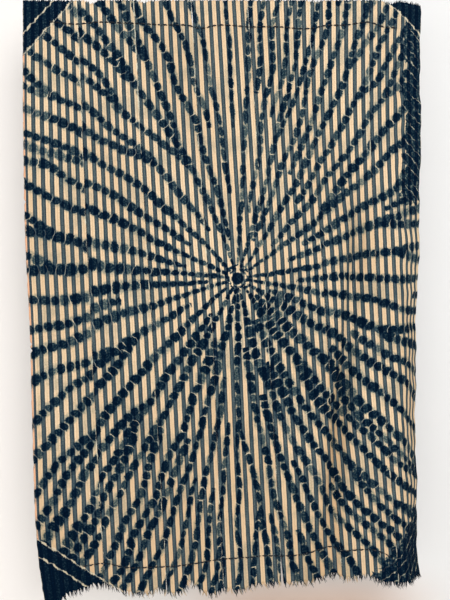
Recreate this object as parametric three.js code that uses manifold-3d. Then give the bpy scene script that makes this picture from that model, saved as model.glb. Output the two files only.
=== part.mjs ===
// A hand-woven cotton wall hanging: seven narrow strips sewn edge to edge, hung by the top edge.
// Both ends are raw and frayed. The right edge curls back, and one long soft trough runs down
// beside it. Millimetres: X across the cloth, -Y towards the viewer, +Z up. The origin is the
// middle of the top edge, inside the cloth's thickness, and the cloth hangs below it.
import * as THREE from 'three';
import Module from 'manifold-3d';
import { mergeVertices } from 'three/addons/utils/BufferGeometryUtils.js';

const wasm = await Module();
wasm.setup();

// Driving dimensions, in mm.
const STRIPS = 7;
const CLOTH_LENGTH = 1480;
const THICKNESS = 1.5;
const GAP = 0.3; // between neighbouring pieces
const STRIP_WIDTH = 145; // cloth width of a strip as woven
const LAST_STRIP_WIDTH = 140; // and of the strip that curls back

// Where the left selvedge and the six seams hang at a number of depths down the cloth.
// "flat" is how much of the last strip hangs flat before it starts to curl, and "curl" is the
// share of the full curl that it has there.
const LEVELS = [
  { down: -20, edges: [-496, -361, -219, -75, 65, 222, 370], flat: 45, curl: 0.4 },
  { down: 322, edges: [-495, -347, -202, -57, 87, 230, 372], flat: 45, curl: 0.4 },
  { down: 572, edges: [-491, -337, -188, -41, 102, 246, 383], flat: 45, curl: 0.7 },
  { down: 822, edges: [-479, -325, -172, -22, 117, 262, 395], flat: 42, curl: 1 },
  { down: 1072, edges: [-472, -312, -158, -12, 131, 278, 414], flat: 22, curl: 1 },
  { down: 1397, edges: [-456, -295, -140, 2, 150, 300, 440], flat: 2, curl: 1 },
  { down: 1540, edges: [-436, -288, -132, 9, 158, 308, 449], flat: 0, curl: 1 },
];

// The full curl of the right edge: the cloth's heading, in degrees away from flat, at distances
// along the cloth from where it leaves the flat.
const CURL = [
  { along: 0, heading: 0 },
  { along: 18, heading: 27 },
  { along: 38, heading: 48 },
  { along: 95, heading: 56 },
  { along: 107, heading: 115 },
  { along: 122, heading: 185 },
  { along: 160, heading: 185 },
];

// Long soft folds: the line of each at the top and bottom of the cloth, its half width, how far
// it stands back (+) or forward (-), and the stretch down the cloth where it fades in and out.
const FOLDS = [
  { topX: 400, bottomX: 262, halfWidth: 22, depth: 24, from: 380, full: 640, fade: 1180, end: 1440 },
  { topX: 300, bottomX: 205, halfWidth: 48, depth: -9, from: 450, full: 800, fade: 1200, end: 1480 },
  { topX: 60, bottomX: 10, halfWidth: 55, depth: 6, from: 480, full: 760, fade: 1250, end: 1500 },
  { topX: -190, bottomX: -120, halfWidth: 45, depth: -7, from: 160, full: 420, fade: 900, end: 1300 },
  { topX: -400, bottomX: -350, halfWidth: 30, depth: 5, from: 60, full: 260, fade: 1100, end: 1400 },
];

// The ragged raw ends: how far down the last woven row lies, by place across in strips.
const TOP_END = [
  { across: 0, down: 0 },
  { across: 1.12, down: 1 },
  { across: 1.25, down: 10 },
  { across: 1.38, down: 0 },
  { across: 2.04, down: 0 },
  { across: 2.16, down: 7 },
  { across: 2.28, down: 1 },
  { across: 2.8, down: 0 },
  { across: 4.9, down: 0 },
  { across: 5.1, down: 5 },
  { across: 5.25, down: 0 },
  { across: 6.2, down: 0 },
  { across: 6.38, down: 9 },
  { across: 6.55, down: 0 },
  { across: 7, down: 0 },
];
const BOTTOM_END = [
  { across: 0, down: 1507 },
  { across: 0.23, down: 1502 },
  { across: 0.4, down: 1477 },
  { across: 0.65, down: 1467 },
  { across: 0.82, down: 1455 },
  { across: 1.06, down: 1455 },
  { across: 1.3, down: 1472 },
  { across: 1.7, down: 1477 },
  { across: 1.87, down: 1465 },
  { across: 2.11, down: 1480 },
  { across: 2.29, down: 1471 },
  { across: 2.43, down: 1442 },
  { across: 2.6, down: 1472 },
  { across: 2.82, down: 1480 },
  { across: 3, down: 1467 },
  { across: 3.25, down: 1470 },
  { across: 3.56, down: 1455 },
  { across: 4.5, down: 1447 },
  { across: 4.86, down: 1427 },
  { across: 5.1, down: 1440 },
  { across: 5.46, down: 1430 },
  { across: 5.7, down: 1450 },
  { across: 6.03, down: 1455 },
  { across: 7, down: 1450 },
];

// Frayed ends: a narrow strip of loosened weave that carries the loose warp yarns.
const FRAY_BAND = 5;
const TOP_FRAY = { count: 11, shortest: 4, longest: 9, lean: 1.5 };
const BOTTOM_FRAY = { count: 20, shortest: 8, longest: 19, lean: 3 };
const YARN_ROOT = 1.15; // radius where a lock of yarn leaves the weave
const YARN_TIP = 0.35;
const SPACING_JITTER = 0.3; // share of the spacing between locks
const LEAN_WAVES = 7; // how fast the locks' lean swings across a strip, in radians

// Steps in the solids.
const ROWS = 20;
const COLUMNS = [8, 8, 8, 8, 10, 10, 16];
const CURL_STEP = 2; // along the cloth, when the curl is summed
const SPAN_STEPS = 24; // across a strip, when its folds are summed
const PROBE_ACROSS = 0.06; // in strips, either side of a point whose directions are found
const PROBE_DOWN = 2;

const STRAIGHT_BACK = new THREE.Vector3(0, 1, 0);

const smooth = (t) => t * t * (3 - 2 * t);
const ramp = (from, to, x) => smooth(THREE.MathUtils.clamp((x - from) / (to - from), 0, 1));

// A repeatable stream of numbers from 0 to 1.
function numberStream(seed) {
  let state = seed;
  return () => {
    state = (state * 16807) % 2147483647;
    return state / 2147483647;
  };
}

// A value read from a table, between the two rows that hold the place.
function between(table, column, at, value) {
  let i = 1;
  while (i < table.length - 1 && table[i][column] < at) i += 1;
  const [low, high] = [table[i - 1], table[i]];
  const share = (at - low[column]) / (high[column] - low[column]);
  return THREE.MathUtils.lerp(value(low), value(high), share);
}

// How far the folds set the cloth back from the plane that it hangs in.
function foldDepth(x, down) {
  return FOLDS.reduce((total, fold) => {
    const line = THREE.MathUtils.lerp(fold.topX, fold.bottomX, down / CLOTH_LENGTH);
    const strength = ramp(fold.from, fold.full, down) * (1 - ramp(fold.fade, fold.end, down));
    const offset = (x - line) / fold.halfWidth;
    return total + fold.depth * strength * Math.exp(-offset * offset);
  }, 0);
}

// A point of the last strip: flat first, then along the curl.
function curledPoint(along, down) {
  const seam = between(LEVELS, 'down', down, (level) => level.edges[STRIPS - 1]);
  const flat = between(LEVELS, 'down', down, (level) => level.flat);
  const curl = between(LEVELS, 'down', down, (level) => level.curl);
  let x = seam + Math.min(along, flat);
  let y = foldDepth(x, down);
  for (let done = flat; done < along; done += CURL_STEP) {
    const step = Math.min(CURL_STEP, along - done);
    const middle = done - flat + step / 2;
    const heading = curl * between(CURL, 'along', middle, (row) => row.heading);
    x += step * Math.cos(THREE.MathUtils.degToRad(heading));
    y += step * Math.sin(THREE.MathUtils.degToRad(heading));
  }
  return new THREE.Vector3(x, y, -down);
}

// A point in the middle of the cloth's thickness: `across` counts strips from the left selvedge,
// and within a strip it follows the cloth's own width, so folds draw the strip in.
function clothPoint(across, down) {
  const strip = Math.min(Math.max(Math.floor(across), 0), STRIPS - 1);
  const share = across - strip;
  if (strip === STRIPS - 1) return curledPoint(Math.max(share, 0) * LAST_STRIP_WIDTH, down);
  const left = between(LEVELS, 'down', down, (level) => level.edges[strip]);
  const right = between(LEVELS, 'down', down, (level) => level.edges[strip + 1]);
  const stepX = (right - left) / SPAN_STEPS;
  const lengths = [0];
  for (let i = 1; i <= SPAN_STEPS; i += 1) {
    const x = left + i * stepX;
    lengths.push(lengths[i - 1] + Math.hypot(stepX, foldDepth(x, down) - foldDepth(x - stepX, down)));
  }
  const wanted = share * lengths[SPAN_STEPS];
  let i = 1;
  while (i < SPAN_STEPS && lengths[i] < wanted) i += 1;
  const x = left + (i - 1 + (wanted - lengths[i - 1]) / (lengths[i] - lengths[i - 1])) * stepX;
  return new THREE.Vector3(x, foldDepth(x, down), -down);
}

// The cloth's own directions at a point: across, down, and out of its back.
function clothFrame(across, down) {
  const inner = THREE.MathUtils.clamp(across, PROBE_ACROSS, STRIPS - PROBE_ACROSS);
  const right = clothPoint(inner + PROBE_ACROSS, down);
  const acrossway = right.sub(clothPoint(inner - PROBE_ACROSS, down)).normalize();
  const lower = clothPoint(across, down + PROBE_DOWN);
  const downway = lower.sub(clothPoint(across, down - PROBE_DOWN)).normalize();
  const back = new THREE.Vector3().crossVectors(acrossway, downway).normalize();
  return { acrossway, downway, back };
}

// Which way the cloth's thickness points at a step across a strip. At a seam it is straight back
// on both strips, so that their edges stay side by side where a fold crosses them.
function thicknessWay(strip, share, across, down) {
  const atSeam = (share === 0 && strip > 0) || (share === 1 && strip < STRIPS - 1);
  return atSeam ? STRAIGHT_BACK : clothFrame(across, down).back;
}

// A stretch of cloth as a closed sheet: a box with steps, bent to the way the cloth hangs.
function sheet(strip, columns, rows, downAt) {
  const seam = GAP / 2 / STRIP_WIDTH;
  const geometry = new THREE.BoxGeometry(1, 1, 1, columns, 1, rows);
  geometry.deleteAttribute('normal');
  geometry.deleteAttribute('uv');
  const place = geometry.attributes.position;
  for (let i = 0; i < place.count; i += 1) {
    const share = place.getX(i) + 0.5;
    const across = strip + THREE.MathUtils.lerp(seam, 1 - seam, share);
    const down = downAt(across, 0.5 - place.getZ(i));
    const point = clothPoint(across, down);
    point.addScaledVector(thicknessWay(strip, share, across, down), place.getY(i) * THICKNESS);
    place.setXYZ(i, point.x, point.y, point.z);
  }
  return mergeVertices(geometry, 1e-3);
}

const topEnd = (across) => between(TOP_END, 'across', across, (row) => row.down);
const bottomEnd = (across) => between(BOTTOM_END, 'across', across, (row) => row.down);

function strip(number) {
  return sheet(number, COLUMNS[number], ROWS, (across, share) =>
    THREE.MathUtils.lerp(topEnd(across), bottomEnd(across), share));
}

function solidOf(geometry) {
  return new wasm.Manifold(new wasm.Mesh({
    numProp: 3,
    vertProperties: new Float32Array(geometry.attributes.position.array),
    triVerts: new Uint32Array(geometry.index.array),
  }));
}

function geometryOf(solid) {
  const mesh = solid.getMesh();
  const geometry = new THREE.BufferGeometry();
  geometry.setAttribute('position', new THREE.BufferAttribute(mesh.vertProperties, 3));
  geometry.setIndex(new THREE.BufferAttribute(mesh.triVerts, 1));
  return geometry;
}

// A place on the line through a frayed band's steps, `out` beyond the last woven row.
function bandPoint(number, across, end, out) {
  const step = 1 / COLUMNS[number];
  const low = number + Math.floor((across - number) / step) * step;
  const from = clothPoint(low, end(low) + out);
  return from.lerp(clothPoint(low + step, end(low + step) + out), (across - low) / step);
}

// One lock of loose yarn, rooted in the frayed band and tapering away from the cloth.
function yarnLock(root, directions, way, length, lean) {
  const heading = directions.downway.clone().multiplyScalar(way);
  heading.addScaledVector(directions.acrossway, lean / length).normalize();
  const geometry = new THREE.CylinderGeometry(YARN_TIP, YARN_ROOT, length, 3, 1);
  geometry.deleteAttribute('normal');
  geometry.deleteAttribute('uv');
  geometry.translate(0, length / 2, 0);
  geometry.applyQuaternion(new THREE.Quaternion().setFromUnitVectors(new THREE.Vector3(0, 1, 0), heading));
  geometry.translate(root.x, root.y, root.z);
  return solidOf(mergeVertices(geometry, 1e-3));
}

// The frayed end of one strip: way is +1 below the cloth and -1 above it.
function frayedEnd(number, end, way, fray, seed) {
  const next = numberStream(seed);
  const near = way * GAP;
  const band = sheet(number, COLUMNS[number], 1, (across, share) => {
    const outward = way > 0 ? share : 1 - share;
    return end(across) + near + way * outward * FRAY_BAND;
  });
  let solid = solidOf(band);
  for (let i = 0; i < fray.count; i += 1) {
    const across = number + (i + 0.5 + SPACING_JITTER * (next() - 0.5)) / fray.count;
    const length = FRAY_BAND / 2 + THREE.MathUtils.lerp(fray.shortest, fray.longest, next());
    const lean = fray.lean * (Math.sin(LEAN_WAVES * across + seed) + next() - 0.5);
    const edgeRoom = Math.min(across - number, number + 1 - across) * STRIP_WIDTH;
    const kept = Math.sign(lean) * Math.min(Math.abs(lean), edgeRoom / 2);
    const root = bandPoint(number, across, end, near + way * FRAY_BAND / 2);
    solid = solid.add(yarnLock(root, clothFrame(across, end(across)), way, length, kept));
  }
  return geometryOf(solid);
}

const clothMaterial = new THREE.MeshStandardMaterial({ color: 0x77767a, roughness: 0.9, metalness: 0 });
const yarnMaterial = new THREE.MeshStandardMaterial({ color: 0x5d5f62, roughness: 0.95, metalness: 0 });

const hanging = new THREE.Group();

function hang(name, geometry, material) {
  const mesh = new THREE.Mesh(geometry, material);
  mesh.name = name;
  hanging.add(mesh);
}

for (let number = 0; number < STRIPS; number += 1) {
  hang(`strip_${number + 1}`, strip(number), clothMaterial);
  hang(`top_fray_${number + 1}`, frayedEnd(number, topEnd, -1, TOP_FRAY, 101 + number), yarnMaterial);
  hang(`bottom_fray_${number + 1}`, frayedEnd(number, bottomEnd, 1, BOTTOM_FRAY, 211 + number), yarnMaterial);
}

export default hanging;
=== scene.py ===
import math

import bmesh
import bpy
import numpy as np
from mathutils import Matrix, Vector


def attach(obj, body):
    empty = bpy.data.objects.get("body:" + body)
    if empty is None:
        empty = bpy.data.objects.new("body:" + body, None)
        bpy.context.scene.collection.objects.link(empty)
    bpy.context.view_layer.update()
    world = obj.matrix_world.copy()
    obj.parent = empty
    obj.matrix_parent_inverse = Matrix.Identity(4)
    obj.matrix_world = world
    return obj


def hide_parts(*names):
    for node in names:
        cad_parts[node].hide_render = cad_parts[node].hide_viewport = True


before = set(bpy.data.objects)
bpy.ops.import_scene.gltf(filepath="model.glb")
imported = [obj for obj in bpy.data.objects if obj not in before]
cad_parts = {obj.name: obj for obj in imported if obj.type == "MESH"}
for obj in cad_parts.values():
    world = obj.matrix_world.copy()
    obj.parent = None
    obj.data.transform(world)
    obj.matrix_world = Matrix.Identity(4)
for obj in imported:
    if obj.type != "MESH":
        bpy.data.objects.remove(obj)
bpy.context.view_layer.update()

# Metres throughout, in the part's own frame: X across the cloth, -Y to the viewer, +Z up, with
# the origin at the middle of the top edge. "down" is measured from the top edge, and "across"
# counts strips from the left selvedge.

# Cloth sizes
STRIPS = 7
STRIP_WIDTH = 0.145
LAST_STRIP_WIDTH = 0.140
CLOTH_LENGTH = 1.480
CLOTH_THICKNESS = 0.0011
PAIRS_PER_STRIP = 7  # blue and cream stripe pairs in one strip

# Where the left selvedge and the six seams hang at a number of depths, how much of the last
# strip hangs flat there, and the share of the full curl that its right edge has.
LEVELS = (
    dict(down=-0.020, edges=(-0.496, -0.361, -0.219, -0.075, 0.065, 0.222, 0.370), flat=0.045, curl=0.4),
    dict(down=0.322, edges=(-0.495, -0.347, -0.202, -0.057, 0.087, 0.230, 0.372), flat=0.045, curl=0.4),
    dict(down=0.572, edges=(-0.491, -0.337, -0.188, -0.041, 0.102, 0.246, 0.383), flat=0.045, curl=0.7),
    dict(down=0.822, edges=(-0.479, -0.325, -0.172, -0.022, 0.117, 0.262, 0.395), flat=0.042, curl=1.0),
    dict(down=1.072, edges=(-0.472, -0.312, -0.158, -0.012, 0.131, 0.278, 0.414), flat=0.022, curl=1.0),
    dict(down=1.397, edges=(-0.456, -0.295, -0.140, 0.002, 0.150, 0.300, 0.440), flat=0.002, curl=1.0),
    dict(down=1.540, edges=(-0.436, -0.288, -0.132, 0.009, 0.158, 0.308, 0.449), flat=0.000, curl=1.0),
)

# Heading of the full curl, in degrees away from flat, at distances along the cloth.
CURL = ((0.0, 0), (0.018, 27), (0.038, 48), (0.095, 56), (0.107, 115), (0.122, 185), (0.160, 185))

# Long soft folds: line at the top and bottom, half width, depth back (+) or forward (-), and the
# stretch down the cloth where each fades in and out.
FOLDS = (
    dict(top_x=0.40, bottom_x=0.262, half=0.022, depth=0.024, start=0.38, full=0.64, fade=1.18, end=1.44),
    dict(top_x=0.30, bottom_x=0.205, half=0.048, depth=-0.009, start=0.45, full=0.80, fade=1.20, end=1.48),
    dict(top_x=0.06, bottom_x=0.01, half=0.055, depth=0.006, start=0.48, full=0.76, fade=1.25, end=1.50),
    dict(top_x=-0.19, bottom_x=-0.12, half=0.045, depth=-0.007, start=0.16, full=0.42, fade=0.90, end=1.30),
    dict(top_x=-0.40, bottom_x=-0.35, half=0.03, depth=0.005, start=0.06, full=0.26, fade=1.10, end=1.40),
)

# The ragged raw ends: place across in strips, and how far down the last woven row lies.
TOP_END = (
    (0, 0.0), (1.12, 0.001), (1.25, 0.010), (1.38, 0.0), (2.04, 0.0), (2.16, 0.007), (2.28, 0.001),
    (2.8, 0.0), (4.9, 0.0), (5.1, 0.005), (5.25, 0.0), (6.2, 0.0), (6.38, 0.009), (6.55, 0.0), (7, 0.0),
)
BOTTOM_END = (
    (0, 1.507), (0.23, 1.502), (0.4, 1.477), (0.65, 1.467), (0.82, 1.455), (1.06, 1.455), (1.3, 1.472),
    (1.7, 1.477), (1.87, 1.465), (2.11, 1.480), (2.29, 1.471), (2.43, 1.442), (2.6, 1.472),
    (2.82, 1.480), (3, 1.467), (3.25, 1.470), (3.56, 1.455), (4.5, 1.447), (4.86, 1.427), (5.1, 1.440),
    (5.46, 1.430), (5.7, 1.450), (6.03, 1.455), (7, 1.450),
)

# Nicks worn into the left selvedge, and places where a seam has come open: depth down, half
# length, and how far the edge draws back.
SELVEDGE_NICKS = (
    (0.502, 0.006, 0.0035), (0.858, 0.004, 0.004), (0.874, 0.007, 0.0055), (0.300, 0.004, 0.0015),
)
OPEN_SEAMS = (
    dict(seam=3, down=0.046, half=0.016, width=0.0012),
    dict(seam=4, down=1.470, half=0.055, width=0.0030),
    dict(seam=2, down=1.480, half=0.030, width=0.0012),
)

# The photograph's frame
PIXEL = 0.0025  # of cloth, at the plane that it hangs in
FRAME_WIDTH_PX = 450
FRAME_HEIGHT_PX = 600
CENTRE_PX = 221  # the pixel column over the middle of the top edge
TOP_PX = 1  # and the row of that edge
CAMERA_DISTANCE = 1.60

# Resist dye: the centre of the starburst, its bead sizes and how closely its rays are set.
BURST_X = 0.0425
BURST_DOWN = 0.6935
CENTRE_DISC = 0.0155
BEAD_PITCH = 0.0244
BEAD_PITCH_UPRIGHT = 0.0085  # added on rays that run straight up or down
BEAD_BOW = 0.07  # how far the line between two beads bows, in beads
HALF_WIDTH_UPRIGHT = 0.0063
HALF_WIDTH_MORE = 0.0050  # added on rays that run sideways
HALF_WIDTH_CENTRE = 0.0030  # a ray's half width at the centre, less than the full one
HALF_WIDTH_GROWTH = 0.026  # and what each metre outwards adds to it
WIDENING = 0.05  # the length over which a ray widens from its start
RAY_START = 0.015  # about how far from the centre every other ray starts
RAY_TAPER = 0.007  # the length over which a ray's point opens
INNER_ROOM = 0.017  # a second ray starts between the first ones where they stand this far apart
OUTER_START = 0.10  # a third one starts no nearer to the centre than this
NEXT_START = 0.16  # and a fourth one no nearer than this to where the third starts
LAST_START = 0.82  # no ray starts further out than this

# The share of INNER_ROOM at which the second ray starts, by its angle clockwise from straight up
INNER_SHARE = (
    (0, 1.0), (95, 1.0), (126, 0.55), (157, 0.9), (255, 1.0), (270, 0.2), (285, 1.0), (360, 1.0),
)

# How far apart two rays stand before another starts between them, the same near the rim, and the
# share of their full width that rays have, by their angle clockwise from straight up
RAY_ROOM = (
    (0, 0.046), (14, 0.042), (30, 0.045), (52, 0.050), (68, 0.066), (90, 0.080), (125, 0.060),
    (150, 0.045), (180, 0.044), (215, 0.056), (245, 0.074), (270, 0.082), (300, 0.080), (325, 0.060),
    (345, 0.047), (360, 0.046),
)
RIM_ROOM = (
    (0, 0.050), (30, 0.048), (60, 0.066), (90, 0.120), (130, 0.070), (150, 0.056), (180, 0.050),
    (220, 0.074), (240, 0.086), (270, 0.120), (310, 0.095), (340, 0.056), (360, 0.050),
)
RAY_WIDTHS = (
    (0, 0.90), (15, 0.84), (52, 0.87), (70, 0.96), (110, 0.99), (140, 0.94), (180, 1.01), (215, 1.03),
    (240, 1.05), (256, 1.03), (270, 1.26), (284, 1.02), (300, 1.02), (345, 0.97), (360, 0.90),
)

# How much a ray turns as it runs outwards, in degrees a metre, by its angle clockwise from straight up
RAY_BENDS = (
    (0, 0), (25, -10), (47, -17), (66, 0), (134, 0), (150, -27), (166, -22), (177, -2), (190, 9), (207, 2),
    (226, -14), (246, -12), (262, 0), (296, 0), (315, -24), (335, -33), (348, -17), (356, 0), (360, 0),
)

DRIFT_START = 0.20  # rays bend little before they are this far out
FIRST_FAULT = 5.5  # degrees by which a ray may be off at the centre
FAULT_REACH = 0.07  # and how far out that fades
FAR = 3  # half widths or disc radii, past which the dye's fields count no further

# How far down the dye sits on each strip, so that the rays step a little at the seams
STRIP_SLIP = (0.014, -0.001, 0.001, 0.0, 0.002, -0.002, 0.001)

GRID = 0.0029  # mesh step of the cloth


def smooth(t):
    t = np.clip(t, 0.0, 1.0)
    return t * t * (3 - 2 * t)


def ramp(start, end, x):
    return smooth((x - start) / (end - start))


def through(places, values, at):
    """A smooth curve through a table's rows, read at many places."""
    places, values = np.asarray(places, float), np.asarray(values, float)
    slopes = np.gradient(values, places)
    i = np.clip(np.searchsorted(places, at) - 1, 0, len(places) - 2)
    span = places[i + 1] - places[i]
    t = np.clip((at - places[i]) / span, 0, 1)
    start = (1 + 2 * t) * (1 - t) ** 2 * values[i] + t * (1 - t) ** 2 * span * slopes[i]
    return start + t * t * (3 - 2 * t) * values[i + 1] + t * t * (t - 1) * span * slopes[i + 1]


def table(rows, at):
    """A value between the rows of a short table of pairs."""
    return np.interp(at, [row[0] for row in rows], [row[1] for row in rows])


def level(column, down):
    return through([row["down"] for row in LEVELS], column, down)


def edge_x(number, down):
    """Where the left selvedge (0) or a seam (1 to 6) hangs."""
    return level([row["edges"][number] for row in LEVELS], down)


def strip_width(number):
    return LAST_STRIP_WIDTH if number == STRIPS - 1 else STRIP_WIDTH


# How the cloth hangs

def fold_line(fold, down):
    """Where the middle of a fold runs."""
    return fold["top_x"] + (fold["bottom_x"] - fold["top_x"]) * down / CLOTH_LENGTH


def fold_depth(x, down):
    total = np.zeros(np.broadcast(x, down).shape)
    for fold in FOLDS:
        strength = ramp(fold["start"], fold["full"], down) * (1 - ramp(fold["fade"], fold["end"], down))
        away = (x - fold_line(fold, down)) / fold["half"]
        total = total + fold["depth"] * strength * np.exp(-(away ** 2))
    return total + slack(x, down)


def slack(x, down):
    """The faint unevenness of a cloth that has been folded away, none of it at the top edge."""
    random = np.random.default_rng(31)
    total = np.zeros(np.broadcast(x, down).shape)
    for _ in range(9):
        across, along = random.uniform(14, 60), random.uniform(-16, 16)
        phase, height = random.uniform(0, 2 * math.pi), random.uniform(0.0002, 0.0007)
        total = total + height * np.sin(across * x + along * down + phase)
    return total * ramp(0.0, 0.12, down)


# The depths and shares across a strip at which its hung shape is worked out
REF_DOWN = np.linspace(LEVELS[0]["down"], LEVELS[-1]["down"], 625)
REF_SHARE = np.linspace(0.0, 1.0, 97)
PROFILE_STEPS = 64


def hung_strip(number):
    """X, Y and the unfolded X of one strip, over a grid of depths and shares across it."""
    down = REF_DOWN[:, None]
    left = edge_x(number, down)
    if number == STRIPS - 1:
        return curled_strip(left, down)
    right = edge_x(number + 1, down)
    x = left + (right - left) * np.linspace(0, 1, PROFILE_STEPS + 1)[None, :]
    y = fold_depth(x, down)
    steps = np.hypot(np.diff(x, axis=1), np.diff(y, axis=1))
    lengths = np.concatenate([np.zeros((len(REF_DOWN), 1)), np.cumsum(steps, axis=1)], axis=1)
    placed = np.array([np.interp(REF_SHARE * l[-1], l, row) for l, row in zip(lengths, x)])
    return placed, fold_depth(placed, down), lengths[:, -1:] * REF_SHARE[None, :]


def curled_strip(left, down):
    """The last strip: flat first, then round the curl of the right edge."""
    flat = level([row["flat"] for row in LEVELS], down)
    share = level([row["curl"] for row in LEVELS], down)
    along = REF_SHARE[None, :] * LAST_STRIP_WIDTH
    past = np.maximum(along - flat, 0)
    step = LAST_STRIP_WIDTH / (len(REF_SHARE) - 1)
    heading = np.radians(share * table(CURL, past))
    turned = np.where(past > 0, np.minimum(past, step), 0)
    x = left + np.minimum(along, flat) + np.cumsum(np.cos(heading) * turned, axis=1)
    held = left + np.minimum(along, flat)
    wave = edge_wave(down) * smooth(past / 0.05)
    y = fold_depth(held, down) + np.cumsum(np.sin(heading) * turned, axis=1)
    return x + wave, y, along + np.zeros_like(down)


def edge_wave(down):
    """Small waves down the curled edge, so that its outline isn't ruled."""
    return 0.0016 * np.sin(21 * down + 1.0) + 0.0011 * np.sin(53 * down) + 0.0006 * np.sin(131 * down)


HUNG = [hung_strip(number) for number in range(STRIPS)]


def reading(grid, share, down):
    """A value from a strip's grid, between its rows and columns."""
    row = np.clip((down - REF_DOWN[0]) / (REF_DOWN[1] - REF_DOWN[0]), 0, len(REF_DOWN) - 1.001)
    column = np.clip(share, 0, 1) * (len(REF_SHARE) - 1.001)
    i, j = row.astype(int), column.astype(int)
    a, b = row - i, column - j
    upper = grid[i, j] * (1 - b) + grid[i, j + 1] * b
    lower = grid[i + 1, j] * (1 - b) + grid[i + 1, j + 1] * b
    return upper * (1 - a) + lower * a


def hung(across, down):
    """Points in the middle of the cloth's thickness."""
    across, down = np.broadcast_arrays(np.asarray(across, float), np.asarray(down, float))
    points = np.empty(across.shape + (3,))
    strip = np.clip(np.floor(across), 0, STRIPS - 1).astype(int)
    for number in range(STRIPS):
        here = strip == number
        if here.any():
            share = across[here] - number
            points[here, 0] = reading(HUNG[number][0], share, down[here])
            points[here, 1] = reading(HUNG[number][1], share, down[here])
    points[..., 2] = -down
    return points


def unfolded_x(across, down):
    """Distance across the cloth with its folds and curl laid flat."""
    across, down = np.broadcast_arrays(np.asarray(across, float), np.asarray(down, float))
    flat = edge_x(0, down)
    for number in range(STRIPS):
        share = np.clip(across - number, 0, 1)
        flat = flat + reading(HUNG[number][2], share, down)
    return flat


def directions(across, down):
    """Unit vectors across the cloth, down it and out of its front."""
    step = 0.012
    inner = np.clip(across, step, STRIPS - step)
    right = hung(inner + step, down) - hung(inner - step, down)
    lower = hung(across, down + 0.004) - hung(across, down - 0.004)
    right /= np.linalg.norm(right, axis=-1, keepdims=True)
    lower /= np.linalg.norm(lower, axis=-1, keepdims=True)
    front = np.cross(lower, right)
    return right, lower, front / np.linalg.norm(front, axis=-1, keepdims=True)


# Resist dye, worked out at each point of the cloth

def ray_spacing(angle):
    """Degrees between neighbouring rays, by angle clockwise from straight up."""
    turn = math.radians(angle)
    return 10.1 - 1.8 * math.cos(2 * turn) - 1.9 * math.cos(4 * turn)


def first_angles(random):
    """Evenly jittered angles for the rays that start at the centre, an even number of them."""
    angles, angle = [], 3.0
    while angle < 359.0:
        angles.append(angle + random.uniform(-0.13, 0.13) * ray_spacing(angle))
        angle += ray_spacing(angle)
    return angles[: len(angles) // 2 * 2]


RADII = np.linspace(0.0, 1.1, 221)  # the distances from the centre where a ray's angle is worked out


def first_ray(random, angle):
    """The angles of a ray from the centre, which bends as it runs outwards."""
    settled = RADII - DRIFT_START * (1 - np.exp(-RADII / DRIFT_START))
    sway = random.uniform(0.1, 0.7) * np.sin(random.uniform(18, 39) * RADII + random.uniform(0, 6.28))
    unsettled = random.uniform(-FIRST_FAULT, FIRST_FAULT) * np.exp(-RADII / FAULT_REACH)
    return angle + table(RAY_BENDS, angle) * settled + sway + unsettled


def ray_between(random, left, right, room, nearest):
    """The angles and the start of a ray between two others, which begins where they stand far enough
    apart and may branch off one of them. None where they never do."""
    right = left + (right - left) % 360
    wide = (np.radians(right - left) * RADII > room) & (RADII > nearest)
    if not wide[: np.searchsorted(RADII, LAST_START)].any():
        return None
    start = RADII[np.argmax(wide)]
    origin, settled = random.choice([0.0, 1.0, 0.5]), random.uniform(0.42, 0.58)
    out = np.clip((RADII - start) / random.uniform(0.15, 0.25), 0, 1)
    share = origin + (settled - origin) * out * (2 - out)
    return left + (right - left) * share, start


def plan_rays():
    """The rays of the starburst in four families that don't touch within a family: every other ray
    from the centre, the rays between those, and two families that start further out."""
    random = np.random.default_rng(7)
    first = first_angles(random)
    lines = [first_ray(random, angle) for angle in first]
    families = ([], [], [], [])
    for i, line in enumerate(lines):
        gap = math.radians((first[(i + 1) % len(first)] - first[i]) % 360)
        if i % 2 == 0:
            start = RAY_START * random.uniform(0.75, 1.9)
        else:
            start = INNER_ROOM * random.uniform(0.8, 1.7) * table(INNER_SHARE, first[i]) / gap
        families[i % 2].append(new_ray(random, line, start))
    for i, left in enumerate(lines):
        right = lines[(i + 1) % len(lines)]
        room = table(RAY_ROOM, first[i]) * random.uniform(0.85, 1.15)
        made = ray_between(random, left, right, room, OUTER_START)
        if made is None:
            continue
        families[2].append(new_ray(random, *made))
        for pair in ((left, made[0]), (made[0], right)):
            rim_room = table(RIM_ROOM, first[i]) * random.uniform(0.88, 1.12)
            last = ray_between(random, *pair, rim_room, made[1] + NEXT_START)
            if last is not None:
                families[3].append(new_ray(random, *last))
    return families


BEAD_COUNT = 76  # more than the beads on the longest ray
PACKED_SIDE = 126  # the angle round which beads sit closest together near the centre
PACKED_SPREAD = 30  # to either side of it, in degrees
PACKED_MORE = 3.6  # how many more beads there are at that angle
PACKED_REACH = 0.08  # how far out the closer beads go


def packed_share(angle):
    """How much the closer setting of the beads shows, by angle clockwise from straight up."""
    return math.exp(-(((angle - PACKED_SIDE) / PACKED_SPREAD) ** 2))


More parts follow.
